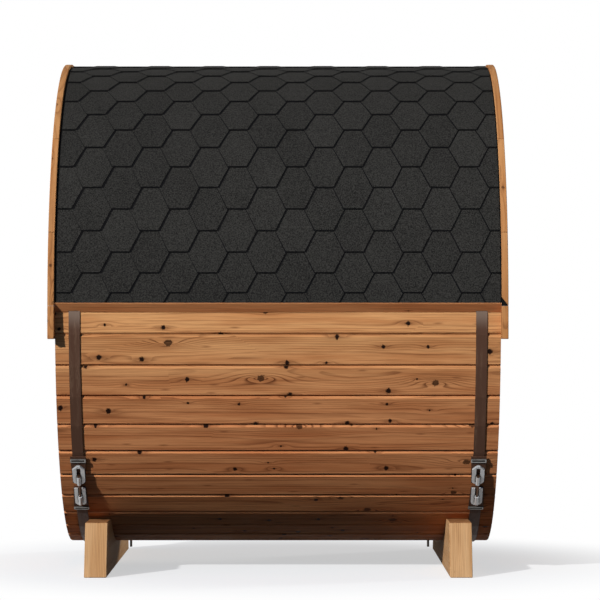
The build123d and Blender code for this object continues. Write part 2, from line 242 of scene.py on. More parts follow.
@dataclass(frozen=True)
class Spots:
    """Knots or eyes strewn over a board, at most one in each cell of a net.

    Columns and rows are cells in a metre along and across the grain, and bare_share is the share of cells
    without a spot. A spot pushes growth rings aside, in rings flow times longer than wide that fade by fall
    in a metre. The spot itself is stretch times longer than wide, has a half width from least to largest,
    and is wholly dark up to firm_share of it.
    """

    columns: float
    rows: float
    bare_share: float
    rings: float
    fall: float
    flow: float
    least: float
    largest: float
    stretch: float
    firm_share: float
    scatter: float = 0.9


class SpotField:
    """The spot that lies nearest to each place on a board."""

    def __init__(self, sheet: NodeSheet, spots: Spots, along: Feed, across: Feed, wanted: Feed) -> None:
        """Strews the spots.

        Args:
            sheet: The group's nodes.
            spots: What the spots are like.
            along: The place along the grain.
            across: The place across the grain.
            wanted: How strongly the spots show, from 0 to 1.
        """
        self.sheet = sheet
        self.spots = spots
        column = sheet.math("MULTIPLY", along, spots.columns)
        row = sheet.math("MULTIPLY", across, spots.rows)
        place = sheet.join(column, row, 0.0)
        net = {"Vector": place, "Scale": 1.0, "Randomness": spots.scatter}
        cell = sheet.add("TexVoronoi", net, voronoi_dimensions="2D", feature="F1")
        off = sheet.parts(sheet.vector("SUBTRACT", place, cell.outputs["Position"]))
        self.along = sheet.math("DIVIDE", off[0], spots.columns)
        self.across = sheet.math("DIVIDE", off[1], spots.rows)
        self.chance = sheet.add("SeparateColor", {0: cell.outputs["Color"]}).outputs
        filled = sheet.math("GREATER_THAN", self.chance[0], spots.bare_share)
        self.there = sheet.math("MULTIPLY", filled, wanted, clamp=True)

    def reach(self, stretch: float) -> bpy.types.NodeSocket:
        """Gives the distance to the spot in metres, with lengths along the grain divided by the stretch."""
        shorter = self.sheet.math("DIVIDE", self.along, stretch)
        return self.sheet.vector("LENGTH", self.sheet.join(shorter, self.across, 0.0))

    def swell(self) -> bpy.types.NodeSocket:
        """Gives how many growth rings the spot pushes aside.

        Returns:
            The number of rings, fading with the distance.
        """
        sheet = self.sheet
        faded = sheet.math("EXPONENT", sheet.math("MULTIPLY", self.reach(self.spots.flow), -self.spots.fall))
        return sheet.math("MULTIPLY", sheet.math("MULTIPLY", faded, self.there), self.spots.rings)

    def size(self, luck: Feed, low: float, share: Feed) -> bpy.types.NodeSocket:
        """Gives the spot's own half width.

        Args:
            luck: The chance value that sets it.
            low: The chance value at the least half width.
            share: How much of the half width counts.

        Returns:
            The half width in metres.
        """
        grown = self.sheet.ramp(luck, low, 1.0, self.spots.least, self.spots.largest)
        return self.sheet.math("MULTIPLY", grown, share)

    def core(self, size: Feed, rag: Feed) -> bpy.types.NodeSocket:
        """Gives the spot's dark wood.

        Args:
            size: The spot's half width.
            rag: What the distance is multiplied by for a ragged rim.

        Returns:
            A mask from 0 to 1.
        """
        sheet = self.sheet
        reach = sheet.math("MULTIPLY", self.reach(self.spots.stretch), rag)
        mask = sheet.ramp(reach, sheet.math("MULTIPLY", size, self.spots.firm_share), size, 1.0, 0.0)
        return sheet.math("MULTIPLY", mask, self.there)


@dataclass(frozen=True)
class PlankFigure:
    """The figure of sawn softwood: growth rings round a pith below the face, with knots and eyes."""

    rings: float = 180.0
    pith_depth: float = 0.075
    pith_lean: float = 0.08
    along_shift: float = 37.0
    across_shift: float = 11.0
    sway: GrainNoise = GrainNoise(along=0.9, across=7.0, detail=2.0)
    sway_reach: float = 0.015
    late_start: float = 0.5
    late_peak: float = 0.92
    ring_least: float = 0.2
    ring_swing: float = 0.42
    fibre: GrainNoise = GrainNoise(along=9.0, across=330.0, detail=2.0, rough=0.6)
    fibre_low: float = 0.3
    fibre_high: float = 0.7
    fibre_swing: float = 0.55
    cloud: GrainNoise = GrainNoise(along=1.6, across=20.0, detail=3.0, rough=0.55)
    cloud_low: float = 0.32
    cloud_high: float = 0.68
    streak: GrainNoise = GrainNoise(along=2.4, across=150.0, detail=2.0, rough=0.55)
    streak_low: float = 0.54
    streak_high: float = 0.74
    streak_strength: float = 0.38
    eyes: Spots = Spots(columns=1.7, rows=7.6, bare_share=0.6, rings=6.0, fall=42.0, flow=5.0,
                        least=0.008, largest=0.016, stretch=1.15, firm_share=0.7)
    eye_strength: float = 0.8
    glow_near: float = 0.004
    glow_far: float = 0.04
    glow_strength: float = 0.5
    knots: Spots = Spots(columns=5.2, rows=11.0, bare_share=0.42, rings=2.2, fall=130.0, flow=3.2,
                         least=0.0055, largest=0.015, stretch=0.85, firm_share=0.55)
    tail_stretch: float = 5.0
    tail_share: float = 1.1
    tail_strength: float = 0.6
    rag_scale: float = 130.0
    rag_detail: float = 2.0
    rag_least: float = 0.35
    rag_swing: float = 1.3
    smoothest: float = 0.5
    roughest: float = 0.72
    late_dip: float = 0.4
    knot_dip: float = 0.5

    def late_wood(
        self, sheet: NodeSheet, place: Feed, across: Feed, depth: Feed, luck: Feed, swell: Feed
    ) -> bpy.types.NodeSocket:
        """Draws the dark late wood of each growth ring.

        Args:
            sheet: The group's nodes.
            place: The board's own place, which the rings' sway is read at.
            across: The place across the board.
            depth: The place into the board.
            luck: The board's chance value, which sets the pith off its middle.
            swell: How many rings the knots and eyes push aside.

        Returns:
            A mask from 0 to 1.
        """
        sway = sheet.math("SUBTRACT", self.sway.lay(sheet, place), MIDDLE)
        sway = sheet.math("MULTIPLY", sway, self.sway_reach * self.rings)
        lean = sheet.math("MULTIPLY", sheet.math("SUBTRACT", luck, MIDDLE), self.pith_lean)
        off = sheet.join(0.0, sheet.math("ADD", across, lean), sheet.math("ADD", depth, self.pith_depth))
        year = sheet.math("MULTIPLY_ADD", sheet.vector("LENGTH", off), self.rings, sway)
        ring = sheet.math("FRACT", sheet.math("ADD", year, swell))
        rise = sheet.ramp(ring, self.late_start, self.late_peak)
        return sheet.math("MULTIPLY", rise, sheet.ramp(ring, self.late_peak, 1.0, 1.0, 0.0))

    def build(self) -> bpy.types.NodeTree:
        """Builds the node group.

        Returns:
            A group that turns grain coordinates and a board's number into colour, roughness and height.
        """
        sheet = GroupSheet(
            "plank_figure",
            {"Grain": "Vector", "Board": "Float", "Pale": "Color", "Warm": "Color", "Dark": "Color",
             "Knot": "Color", "Knots": "Float", "Spread": "Float"},
            {"Color": "Color", "Roughness": "Float", "Height": "Float"},
        )
        given = sheet.given
        dice = sheet.scatter(given["Board"])
        chance = sheet.add("SeparateColor", {0: dice.outputs["Color"]}).outputs
        along, across, depth = sheet.parts(given["Grain"])
        along = sheet.math("MULTIPLY_ADD", chance[0], self.along_shift, along)
        lane = sheet.math("MULTIPLY_ADD", chance[1], self.across_shift, across)
        place = sheet.join(along, lane, depth)

        eyes = SpotField(sheet, self.eyes, along, lane, given["Knots"])
        knots = SpotField(sheet, self.knots, along, lane, given["Knots"])
        swell = sheet.math("ADD", eyes.swell(), knots.swell())
        late = self.late_wood(sheet, place, across, depth, chance[2], swell)
        fibre = self.fibre.lay(sheet, place)
        plain = sheet.ramp(self.cloud.lay(sheet, place), self.cloud_low, self.cloud_high)
        streak = sheet.ramp(self.streak.lay(sheet, place), self.streak_low, self.streak_high)

        ragged = sheet.noise(place, self.rag_scale, self.rag_detail)
        rag = sheet.math("MULTIPLY_ADD", ragged, self.rag_swing, self.rag_least)
        knot_size = knots.size(knots.chance[0], self.knots.bare_share, given["Knots"])
        knot_core = knots.core(knot_size, rag)
        tail_end = sheet.math("MULTIPLY", knot_size, self.tail_share)
        tail = sheet.ramp(knots.reach(self.tail_stretch), 0.0, tail_end, 1.0, 0.0)
        eye_core = eyes.core(eyes.size(eyes.chance[1], 0.0, eyes.there), rag)
        glow = sheet.ramp(eyes.reach(self.eyes.flow), self.glow_near, self.glow_far, 1.0, 0.0)
        glow = sheet.math("MULTIPLY", glow, eyes.there)

        strength = sheet.math("MULTIPLY_ADD", plain, self.ring_swing, self.ring_least)
        strength = sheet.math("ADD", strength, sheet.math("MULTIPLY", glow, self.glow_strength), clamp=True)
        colour = sheet.blend(plain, given["Pale"], given["Warm"])
        for mask, share, tone in (
            (late, strength, "Dark"),
            (streak, self.streak_strength, "Dark"),
            (tail, self.tail_strength, "Dark"),
            (eye_core, self.eye_strength, "Knot"),
            (knot_core, 1.0, "Knot"),
        ):
            colour = sheet.blend(sheet.math("MULTIPLY", mask, share), colour, given[tone])
        swing = sheet.math("SUBTRACT", dice.outputs[0], MIDDLE)
        swing = sheet.math("MULTIPLY_ADD", swing, given["Spread"], 1.0)
        swing = sheet.math("MULTIPLY_ADD", sheet.math("SUBTRACT", fibre, MIDDLE), self.fibre_swing, swing)
        toned = sheet.vector("SCALE", colour)
        sheet.feed(toned.node.inputs["Scale"], swing)

        rough = sheet.ramp(fibre, self.fibre_low, self.fibre_high, self.smoothest, self.roughest)
        dip = sheet.math("MULTIPLY", late, self.late_dip)
        dip = sheet.math("MULTIPLY_ADD", knot_core, self.knot_dip, dip)
        sheet.feed(sheet.result["Color"], toned)
        sheet.feed(sheet.result["Roughness"], rough)
        sheet.feed(sheet.result["Height"], sheet.math("SUBTRACT", fibre, dip))
        return sheet.tree


@dataclass(frozen=True)
class Mottle:
    """Uneven soiling and wear: broad blotches and fine specks."""

    blotch_detail: float = 3.0
    speck_detail: float = 1.0

    def build(self) -> bpy.types.NodeTree:
        """Builds the node group.

        Returns:
            A group that turns a place into a blotch and a speck.
        """
        sheet = GroupSheet(
            "mottle", {"Place": "Vector", "Blotch size": "Float", "Speck size": "Float"},
            {"Blotch": "Float", "Speck": "Float"},
        )
        for name, detail in (("Blotch", self.blotch_detail), ("Speck", self.speck_detail)):
            value = sheet.noise(sheet.given["Place"], 1.0, detail)
            sheet.feed(value.node.inputs["Scale"], sheet.given[f"{name} size"])
            sheet.feed(sheet.result[name], value)
        return sheet.tree


PLANK_FIGURE = PlankFigure().build()
MOTTLE = Mottle().build()


@dataclass(frozen=True)
class Barrel:
    """Where the barrel is, read from the frame."""

    staves: ClassVar[int] = 49
    wall_boards: ClassVar[int] = 16
    first_joint_angle: ClassVar[float] = -6.55
    axis_z: float
    half_length: float
    cover_radius: float
    trim_radius: float
    stave_radius: float
    stave_pitch: float
    first_joint: float
    trim_x: float
    wall_x: float
    board_width: float

    @classmethod
    def measured(cls) -> "Barrel":
        """Reads the barrel's places from the CAD nodes.

        Returns:
            The barrel.
        """
        axis_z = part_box("trim_legs_left")[1].z
        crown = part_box("staves_front_crown")
        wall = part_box("rear_wall")
        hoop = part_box("trim_arc_right")
        return cls(
            axis_z=axis_z,
            half_length=crown[1].x,
            cover_radius=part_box("roof_cover_front")[1].z - axis_z,
            trim_radius=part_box("trim_arc_left")[1].z - axis_z,
            stave_radius=crown[1].z - axis_z,
            stave_pitch=math.tau / cls.staves,
            first_joint=math.radians(cls.first_joint_angle),
            trim_x=(hoop[0].x + hoop[1].x) / 2,
            wall_x=-(wall[0].x + wall[1].x) / 2,
            board_width=(wall[1].y - wall[0].y) / cls.wall_boards,
        )


BARREL = Barrel.measured()


class Finish:
    """A surface finish that makes one material for a slot, or for a few of the nodes in it."""

    slot: Slot
    only: tuple[str, ...] = ()

    def surface(self, sheet: NodeSheet, shader: bpy.types.Node) -> None:
        """Joins the finish to the material's shader.

        Args:
            sheet: The material's nodes.
            shader: The principled shader to feed.
        """
        raise NotImplementedError

    def material(self) -> bpy.types.Material:
        """Makes the material.

        Returns:
            The material with its nodes in place.
        """
        made = bpy.data.materials.new("_".join((self.slot.value, *self.only[:1])))
        made.use_nodes = True
        sheet = NodeSheet(made.node_tree)
        self.surface(sheet, made.node_tree.nodes["Principled BSDF"])
        log.info("finish %s", made.name)
        return made

    @staticmethod
    def place(sheet: NodeSheet) -> bpy.types.NodeSocket:
        """Gives the place on the object that the shader is at."""
        return sheet.add("TexCoord", {}).outputs["Object"]

    @staticmethod
    def relief(sheet: NodeSheet, shader: bpy.types.Node, height: Feed, depth: float, strength: float) -> None:
        """Gives the shader a bumped surface.

        Args:
            sheet: The material's nodes.
            shader: The shader to feed.
            height: The height from 0 to 1.
            depth: How far 0 lies below 1, in metres.
            strength: How much of the bump shows.
        """
        bump = sheet.add("Bump", {"Height": height, "Distance": depth, "Strength": strength})
        sheet.feed(shader.inputs["Normal"], bump.outputs[0])


@dataclass(frozen=True)
class Tones:
    """The colours of a wood: its pale and warm clouds, its dark late wood and its knots."""

    pale: Rgb
    warm: Rgb
    dark: Rgb
    knot: Rgb


@dataclass(frozen=True)
class Wood(Finish):
    """Planed softwood, with the grain laid along the pieces that wear it."""

    slot: Slot
    tones: Tones
    knots: float = 1.0
    spread: float = 0.2
    shine: float = 0.02
    relief_depth: float = 0.0012
    relief_strength: float = 0.5
    end_facing: float = 0.5
    only: tuple[str, ...] = ()

    def lay(self, sheet: NodeSheet) -> tuple[Feed, Feed]:
        """Lays the grain.

        Args:
            sheet: The material's nodes.

        Returns:
            The place along, across and into the board, and the board's number.
        """
        raise NotImplementedError

    def turn_at_ends(self, sheet: NodeSheet, grain: Feed, end_grain: Feed) -> bpy.types.NodeSocket:
        """Takes other grain coordinates on the faces that look along the barrel.

        Args:
            sheet: The material's nodes.
            grain: The coordinates on all other faces.
            end_grain: The coordinates on those faces.

        Returns:
            The coordinates to use.
        """
        facing = sheet.parts(sheet.add("NewGeometry", {}).outputs["Normal"])[0]
        side = sheet.math("GREATER_THAN", sheet.math("ABSOLUTE", facing), self.end_facing)
        return sheet.add("Mix", {0: side, 4: grain, 5: end_grain}, data_type="VECTOR").outputs[1]

    @staticmethod
    def round_axis(sheet: NodeSheet, y: Feed, z: Feed) -> tuple[bpy.types.NodeSocket, bpy.types.NodeSocket]:
        """Measures a place round the barrel's axis.

        Args:
            sheet: The material's nodes.
            y: The place towards the back.
            z: The place above the ground.

        Returns:
            The angle up from the front in radians, and the distance from the axis.
        """
        up = sheet.math("SUBTRACT", z, BARREL.axis_z)
        out = sheet.math("MULTIPLY", y, -1.0)
        return sheet.math("ARCTAN2", up, out), sheet.vector("LENGTH", sheet.join(0.0, out, up))

    def paint_light(self, sheet: NodeSheet, colour: Feed) -> Feed:
        """Gives the colour with its painted light and shade; here there is none, so the fresh one."""
        return colour

    def surface(self, sheet: NodeSheet, shader: bpy.types.Node) -> None:
        """Joins the plank figure to the shader.

        Args:
            sheet: The material's nodes.
            shader: The principled shader to feed.
        """
        grain, board = self.lay(sheet)
        tones = self.tones
        figure = sheet.group(PLANK_FIGURE, {
            "Grain": grain, "Board": board, "Pale": linear(tones.pale), "Warm": linear(tones.warm),
            "Dark": linear(tones.dark), "Knot": linear(tones.knot),
            "Knots": self.knots, "Spread": self.spread,
        })
        sheet.feed(shader.inputs["Base Color"], self.paint_light(sheet, figure.outputs["Color"]))
        sheet.feed(shader.inputs["Roughness"], figure.outputs["Roughness"])
        shader.inputs["Specular IOR Level"].default_value = self.shine
        self.relief(sheet, shader, figure.outputs["Height"], self.relief_depth, self.relief_strength)


@dataclass(frozen=True)
class StaveWood(Wood):
    """Wood of the barrel's staves: along the barrel, a new board at each joint, painted paler towards the
    roof and redder towards the ground as light and shade.
    """

    painted_shade_height: float = 0.55
    painted_light_height: float = 1.06
    painted_shade_tint: Tint = (1.04, 0.92, 0.97, 1.0)
    painted_light_tint: Tint = (1.02, 1.10, 1.17, 1.0)

    def paint_light(self, sheet: NodeSheet, colour: Feed) -> Feed:
        """Paints light and shade onto the staves: redder towards the ground, paler towards the roof.

        Args:
            sheet: The material's nodes.
            colour: The fresh wood's colour.

        Returns:
            The colour to use.
        """
        height = sheet.parts(self.place(sheet))[2]
        # Painted light and shade: the tint runs from redder near the ground to paler near the roof.
        share = sheet.ramp(height, self.painted_shade_height, self.painted_light_height)
        tint = sheet.blend(share, self.painted_shade_tint, self.painted_light_tint)
        return sheet.blend(1.0, colour, tint, "MULTIPLY")

    def lay(self, sheet: NodeSheet) -> tuple[Feed, Feed]:
        """Lays the grain along the barrel, unrolled stave by stave.

        Args:
            sheet: The material's nodes.

        Returns:
            The place along, across and into the stave, and the stave's number.
        """
        x, y, z = sheet.parts(self.place(sheet))
        turn, radius = self.round_axis(sheet, y, z)
        number = sheet.math("DIVIDE", sheet.math("SUBTRACT", turn, BARREL.first_joint), BARREL.stave_pitch)
        within = sheet.math("SUBTRACT", sheet.math("FRACT", number), MIDDLE)
        across = sheet.math("MULTIPLY", within, BARREL.stave_pitch * BARREL.stave_radius)
        depth = sheet.math("SUBTRACT", radius, BARREL.stave_radius)
        return sheet.join(x, across, depth), sheet.math("FLOOR", number)


@dataclass(frozen=True)
class HoopWood(Wood):
    """Wood of the arched trim: round the hoop, a new board at each joint."""

    joints: tuple[float, ...] = (0.0, 16.35, 40.5, 74.0, 106.0, 139.5, 163.65)
    middle: float = 0.986
    hoop_step: float = 20.0

    def lay(self, sheet: NodeSheet) -> tuple[Feed, Feed]:
        """Lays the grain round the hoop, segment by segment, and down its legs.

        Args:
            sheet: The material's nodes.

        Returns:
            The place along, across and into the segment, and the segment's number.
        """
        x, y, z = sheet.parts(self.place(sheet))
        turn, radius = self.round_axis(sheet, y, z)
        board = sheet.math("MULTIPLY", sheet.math("FLOOR", x), self.hoop_step)
        for joint in self.joints:
            board = sheet.math("ADD", board, sheet.math("GREATER_THAN", turn, math.radians(joint)))
        along = sheet.math("MULTIPLY", turn, BARREL.trim_radius)
        rim = sheet.math("SUBTRACT", sheet.math("ABSOLUTE", x), BARREL.trim_x)
        ring = sheet.math("SUBTRACT", radius, self.middle)
        return self.turn_at_ends(sheet, sheet.join(along, rim, ring), sheet.join(along, ring, rim)), board


class Run(Enum):
    """Which way the grain runs in a straight piece: axes along, across and into the board."""

    ALONG = (0, 2, 1)
    ACROSS = (1, 2, 0)
    UPRIGHT = (2, 1, 0)


@dataclass(frozen=True)
class StraightWood(Wood):
    """Wood of straight pieces, laid in boards of one width."""

    run: Run = Run.UPRIGHT
    middle: tuple[float, float, float] = (0.0, 0.0, 0.0)
    board_width: float = 10.0
    first_joint: float = -5.0
    end_step: float = 60.0

    def lay(self, sheet: NodeSheet) -> tuple[Feed, Feed]:
        """Lays the grain along the run, in other boards at each end unless they run the barrel's length.

        Args:
            sheet: The material's nodes.

        Returns:
            The place along, across and into the board, and the board's number.
        """
        x, y, z = sheet.parts(self.place(sheet))
        whole = self.run is Run.ALONG
        number = sheet.math("DIVIDE", sheet.math("SUBTRACT", y, self.first_joint), self.board_width)
        within = sheet.math("SUBTRACT", sheet.math("FRACT", number), MIDDLE)
        axes = (
            sheet.math("SUBTRACT", x if whole else sheet.math("ABSOLUTE", x), self.middle[0]),
            sheet.math("SUBTRACT", sheet.math("MULTIPLY", within, self.board_width), self.middle[1]),
            sheet.math("SUBTRACT", z, self.middle[2]),
        )
        end = 0.0 if whole else sheet.math("FLOOR", x)
        board = sheet.math("MULTIPLY_ADD", end, self.end_step, sheet.math("FLOOR", number))
        return sheet.join(*(axes[axis] for axis in self.run.value)), board


@dataclass(frozen=True)
class CradleWood(Wood):
    """Wood of the cradles: rings on edge up the sloping ends, grain along the sides, with painted shade on
    top.
    """

    slope: float = 0.34
    reach: float = 0.778
    heart: float = 0.6345
    top_shade_start: float = 0.6
    top_shade_full: float = 0.9
    top_shade_tint: Tint = (0.62, 0.5, 0.43, 1.0)

    def lay(self, sheet: NodeSheet) -> tuple[Feed, Feed]:
        """Lays the rings on edge, seen on the sloping ends, and the grain along the sides.

        Args:
            sheet: The material's nodes.

        Returns:
            The place along, across and into the timber, and the cradle's number.
        """
        x, y, z = sheet.parts(self.place(sheet))
        across = sheet.math("SUBTRACT", sheet.math("ABSOLUTE", x), self.heart)
        end = sheet.math("MULTIPLY_ADD", z, self.slope, sheet.math("ABSOLUTE", y))
        depth = sheet.math("SUBTRACT", end, self.reach)
        grain = self.turn_at_ends(sheet, sheet.join(z, across, depth), sheet.join(y, z, across))
        return grain, sheet.math("FLOOR", x)

    def paint_light(self, sheet: NodeSheet, colour: Feed) -> Feed:
        """Paints shade onto the faces that look up, darkening them.

        Args:
            sheet: The material's nodes.
            colour: The fresh wood's colour.

        Returns:
            The colour to use.
        """
        up = sheet.parts(sheet.add("NewGeometry", {}).outputs["Normal"])[2]
        # Painted shade: faces that look up take the darker tint.
        top_shaded = sheet.blend(1.0, colour, self.top_shade_tint, "MULTIPLY")
        return sheet.blend(sheet.ramp(up, self.top_shade_start, self.top_shade_full), colour, top_shaded)


@dataclass(frozen=True)
class Felt(Finish):
    """Mineral felt: dark granules on bitumen, with painted shadow lines where a dark sheet shows under each
    tab.
    """

    slot: Slot
    pale: Rgb
    dark: Rgb
    # The third colour is that of the dark sheet under each tab, which paints the shadow lines.
    shadow_sheet: Rgb
    only: tuple[str, ...] = ()
    blotch_size: float = 7.0
    granule_size: float = 230.0
    granule_low: float = 0.28
    granule_high: float = 0.72
    blotch_swing: float = 0.3
    tab_swing: float = 0.16
    smoothest: float = 0.85
    roughest: float = 0.97
    shine: float = 0.12
    relief_depth: float = 0.002
    relief_strength: float = 0.6

    def surface(self, sheet: NodeSheet, shader: bpy.types.Node) -> None:
        """Joins granules, tab tones with the painted shade near the ridge, blotches and the painted shadow
        lines to the shader.

        Args:
            sheet: The material's nodes.
            shader: The principled shader to feed.
        """
        mottle = sheet.group(MOTTLE, {
            "Place": self.place(sheet), "Blotch size": self.blotch_size, "Speck size": self.granule_size,
        }).outputs
        # The tab tone holds each tab's random tone and the painted shade near the ridge.
        tone = sheet.add("Attribute", {}, attribute_name="tab_tone_and_shade").outputs["Fac"]
        shadow_sheet = sheet.add("Attribute", {}, attribute_name="shadow_sheet").outputs["Fac"]
        share = sheet.ramp(mottle["Speck"], self.granule_low, self.granule_high)
        blotch = sheet.math("SUBTRACT", mottle["Blotch"], MIDDLE)
        share = sheet.math("MULTIPLY_ADD", blotch, self.blotch_swing, share)
        share = sheet.math("MULTIPLY_ADD", tone, self.tab_swing, share, clamp=True)
        colour = sheet.blend(share, linear(self.dark), linear(self.pale))
        # Painted shadow lines: where the dark sheet shows at a tab's rim, its colour takes over.
        sheet.feed(shader.inputs["Base Color"], sheet.blend(shadow_sheet, colour, linear(self.shadow_sheet)))
        sheet.feed(shader.inputs["Roughness"], sheet.ramp(share, 0.0, 1.0, self.smoothest, self.roughest))
        shader.inputs["Specular IOR Level"].default_value = self.shine
        self.relief(sheet, shader, mottle["Speck"], self.relief_depth, self.relief_strength)


@dataclass(frozen=True)
class Paint(Finish):
    """Baked paint on steel with faint brushing and scuffs, and a painted highlight under the eaves."""

    slot: Slot
    body: Rgb
    worn: Rgb
    top_highlight: Rgb
    brushing: tuple[float, float, float] = (40.0, 3.0, 3.0)
    blotch_size: float = 1.2
    speck_size: float = 14.0
    scuff_start: float = 0.5
    scuff_full: float = 0.75
    speck_start: float = 0.35
    speck_full: float = 0.65
    top_highlight_share: float = 0.42
    top_highlight_height: float = 1.06
    top_highlight_fall: float = 0.08
    polish_low: float = 0.3
    polish_high: float = 0.7
    smoothest: float = 0.42
    roughest: float = 0.62
    shine: float = 0.1
    relief_depth: float = 0.0003
    relief_strength: float = 0.3

    def surface(self, sheet: NodeSheet, shader: bpy.types.Node) -> None:
        """Joins scuffs, the painted highlight under the eaves and dulling to the shader.

        Args:
            sheet: The material's nodes.
            shader: The principled shader to feed.
        """
        place = self.place(sheet)
        brushed = sheet.vector("MULTIPLY", place, self.brushing)
        mottle = sheet.group(MOTTLE, {
            "Place": brushed, "Blotch size": self.blotch_size, "Speck size": self.speck_size,
        }).outputs
        scuff = sheet.ramp(mottle["Blotch"], self.scuff_start, self.scuff_full)
        scuff = sheet.math("MULTIPLY", scuff, sheet.ramp(mottle["Speck"], self.speck_start, self.speck_full))
        colour = sheet.blend(scuff, linear(self.body), linear(self.worn))
        height = sheet.parts(place)[2]
        # Painted highlight: the paint turns lighter and greyer towards the eaves.
        highlighted = sheet.ramp(height, self.top_highlight_height - self.top_highlight_fall, self.top_highlight_height, 0.0, self.top_highlight_share)
        rough = sheet.ramp(mottle["Speck"], self.polish_low, self.polish_high, self.smoothest, self.roughest)
        sheet.feed(shader.inputs["Base Color"], sheet.blend(highlighted, colour, linear(self.top_highlight)))
        sheet.feed(shader.inputs["Roughness"], rough)
        shader.inputs["Specular IOR Level"].default_value = self.shine
        self.relief(sheet, shader, mottle["Speck"], self.relief_depth, self.relief_strength)


@dataclass(frozen=True)
class Metal(Finish):
    """Bare or plated metal with uneven polish, dirty in blotches, with painted shade in its creases."""

    slot: Slot
    bright: Rgb
    soiled_and_shaded: Rgb
    polish: float
    soiling: float = 0.4
    mirror_share: float = 1.0
    crease_shade: float = 0.006
    crease_shade_dark: float = 0.5
    crease_shade_clear: float = 0.85
    crease_shade_samples: int = 8
    blotch_size: float = 60.0
    speck_size: float = 700.0
    soil_start: float = 0.48
    soil_full: float = 0.72
    soiled_mirror: float = 0.6
    speck_low: float = 0.3
    speck_high: float = 0.7
    speck_dulling: float = 0.1
    soil_dulling: float = 0.3
    relief_depth: float = 0.0002
    relief_strength: float = 0.2

    def surface(self, sheet: NodeSheet, shader: bpy.types.Node) -> None:
        """Joins soiling, painted shade in the creases and polish marks to the shader.

        Args:
            sheet: The material's nodes.
            shader: The principled shader to feed.
        """
        mottle = sheet.group(MOTTLE, {
            "Place": self.place(sheet), "Blotch size": self.blotch_size, "Speck size": self.speck_size,
        }).outputs
        soil_and_shade = sheet.ramp(mottle["Blotch"], self.soil_start, self.soil_full)
        soil_and_shade = sheet.math("MULTIPLY", soil_and_shade, self.soiling)
        # Painted shade: the colour darkens and dulls in the creases that ambient occlusion finds.
        crease_shade = sheet.add("AmbientOcclusion", {"Distance": self.crease_shade}, samples=self.crease_shade_samples)
        filled = sheet.ramp(crease_shade.outputs["AO"], self.crease_shade_dark, self.crease_shade_clear, 1.0, 0.0)
        soil_and_shade = sheet.math("MAXIMUM", soil_and_shade, filled)
        mirror = sheet.ramp(soil_and_shade, 0.0, 1.0, self.mirror_share, self.soiled_mirror * self.mirror_share)
        dullest = self.polish + self.speck_dulling
        rough = sheet.ramp(mottle["Speck"], self.speck_low, self.speck_high, self.polish, dullest)
        rough = sheet.math("MULTIPLY_ADD", soil_and_shade, self.soil_dulling, rough)
        sheet.feed(shader.inputs["Base Color"], sheet.blend(soil_and_shade, linear(self.bright), linear(self.soiled_and_shaded)))
        sheet.feed(shader.inputs["Metallic"], mirror)
        sheet.feed(shader.inputs["Roughness"], rough)
        self.relief(sheet, shader, mottle["Speck"], self.relief_depth, self.relief_strength)


BARREL_TONES = Tones(pale=(200, 141, 88), warm=(176, 114, 67), dark=(100, 56, 30), knot=(30, 17, 11))
CRADLE_TONES = Tones(pale=(191, 150, 106), warm=(176, 132, 88), dark=(138, 94, 56), knot=(120, 82, 50))
TRIM_TONES = Tones(pale=(184, 131, 82), warm=(168, 111, 64), dark=(119, 71, 39), knot=(40, 24, 16))
# The eaves wood is paler than the staves' as painted light on its face, which looks down and gets little key
# light.
EAVES_TONES = Tones(pale=(232, 158, 101), warm=(213, 134, 81), dark=(140, 81, 47), knot=(38, 22, 14))
DECK_TONES = Tones(pale=(198, 156, 108), warm=(178, 132, 84), dark=(136, 92, 54), knot=(66, 40, 26))
HANDLE_TONES = Tones(pale=(190, 136, 86), warm=(162, 106, 60), dark=(116, 68, 36), knot=(52, 30, 20))
LONG_MIDDLE = (0.0, 0.0, BARREL.axis_z)

FINISHES: tuple[Finish, ...] = (
    StaveWood(Slot.STAVE_WOOD, BARREL_TONES),
    CradleWood(Slot.CRADLE_WOOD, CRADLE_TONES, knots=0.3, spread=0.0),
    HoopWood(Slot.TRIM_WOOD, TRIM_TONES, knots=0.6, spread=0.05),
    StraightWood(Slot.EAVES_WOOD, EAVES_TONES, knots=0.4, spread=0.0, run=Run.ALONG, middle=LONG_MIDDLE),
    StraightWood(Slot.DECK_WOOD, DECK_TONES, knots=0.8, run=Run.ALONG, middle=LONG_MIDDLE),
    StraightWood(Slot.WALL_WOOD, BARREL_TONES, middle=(BARREL.wall_x, 0.0, 0.0),
                 board_width=BARREL.board_width, first_joint=0.0),
    StraightWood(Slot.WALL_WOOD, BARREL_TONES, run=Run.ACROSS, middle=(BARREL.wall_x, 0.0, BARREL.axis_z),
                 only=("door_head", "door_sill", "door_ledges")),
    StraightWood(Slot.HANDLE_WOOD, HANDLE_TONES, knots=0.2, middle=(0.85, 0.0, 0.0)),
    # The last colour given is the dark sheet that paints the tabs' shadow lines.
    Felt(Slot.SHINGLE_FELT, pale=(52, 50, 46), dark=(18, 17, 15), shadow_sheet=(6, 6, 7)),
    Felt(Slot.SHINGLE_FELT, pale=(16, 16, 16), dark=(6, 6, 6), shadow_sheet=(6, 6, 7),
         only=("roof_cover_front", "roof_cover_back")),
    Paint(Slot.BAND_PAINT, body=(75, 51, 38), worn=(101, 77, 60), top_highlight=(150, 132, 116)),
    Metal(Slot.KEEPER_STEEL, bright=(134, 133, 130), soiled_and_shaded=(62, 56, 51), polish=0.3),
    Metal(Slot.LUG_CHROME, bright=(192, 191, 188), soiled_and_shaded=(46, 42, 38), polish=0.16, soiling=0.1,
          mirror_share=0.3, crease_shade=0.014),
    Metal(Slot.BOLT_STEEL, bright=(92, 66, 48), soiled_and_shaded=(40, 30, 24), polish=0.32),
    Metal(Slot.FLOOR_BOLT_STEEL, bright=(96, 88, 80), soiled_and_shaded=(48, 42, 38), polish=0.4),
    Metal(Slot.HINGE_STEEL, bright=(92, 90, 88), soiled_and_shaded=(52, 46, 42), polish=0.42),
)


